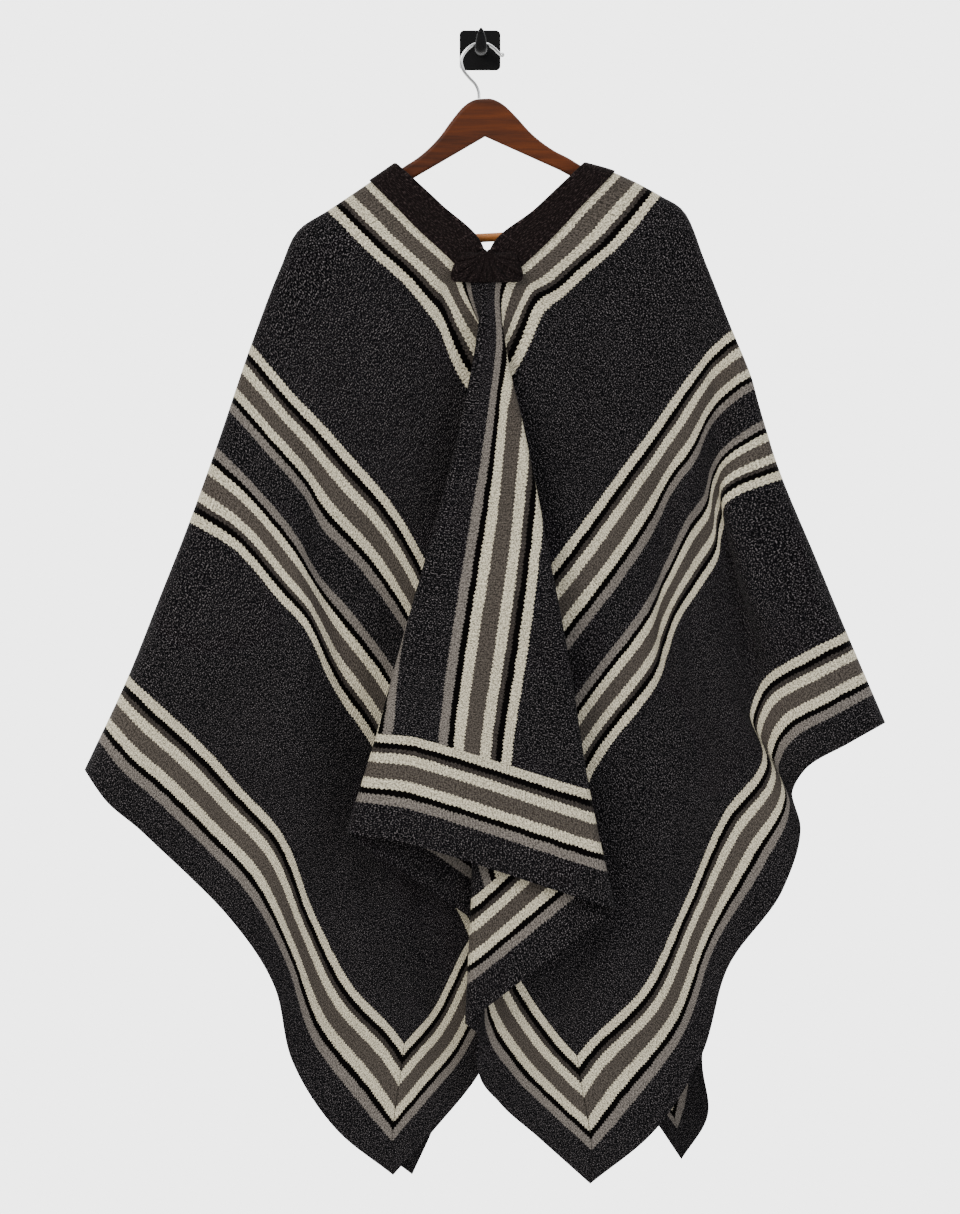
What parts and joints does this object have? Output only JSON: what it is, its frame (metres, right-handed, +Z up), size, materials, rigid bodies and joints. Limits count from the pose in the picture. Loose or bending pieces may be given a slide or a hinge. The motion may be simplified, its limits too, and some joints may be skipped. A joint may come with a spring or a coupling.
{
  "type": "andean poncho on a hanger",
  "caption": "Wide handwoven wool poncho with striped bands, V-shaped neck slit and gathered centre pleat, hanging on a wooden hanger from a wall hook.",
  "frame": {"origin": "centre of the wall plate's back face, where the part is fixed to a wall", "axes": "+Z up; -Y towards the viewer, out of the wall; +X to the viewer's right"},
  "size_m": [0.938, 0.1951, 1.3526],
  "materials": {
    "charcoal_wool": "thick handwoven charcoal wool, heathered with pale fibres, with a soft nap and woven stripes",
    "striped_wool": "handwoven wool stripes in cream, taupe, grey and black, with fine ribs across them",
    "brown_wool": "dark brown heathered wool, napped",
    "stained_wood": "red-brown stained hardwood, satin varnish",
    "plain_wood": "golden-brown turned wood, satin varnish",
    "bright_steel": "bright plated steel wire",
    "black_paint": "smooth black enamel"
  },
  "bodies": {
    "root": {"panel_front_left": "charcoal_wool", "panel_front_right": "charcoal_wool", "panel_back_left": "charcoal_wool", "panel_back_right": "charcoal_wool", "border_front_left": "striped_wool", "border_front_right": "striped_wool", "border_back_left": "striped_wool", "border_back_right": "striped_wool", "collar_left": "brown_wool", "collar_right": "brown_wool", "neck_gather_front": "brown_wool", "neck_gather_back": "brown_wool", "hanger_body": "stained_wood", "hanger_bar": "plain_wood", "hanger_hook": "bright_steel", "wall_hook": "black_paint", "wall_plate": "black_paint"}
  },
  "joints": []
}
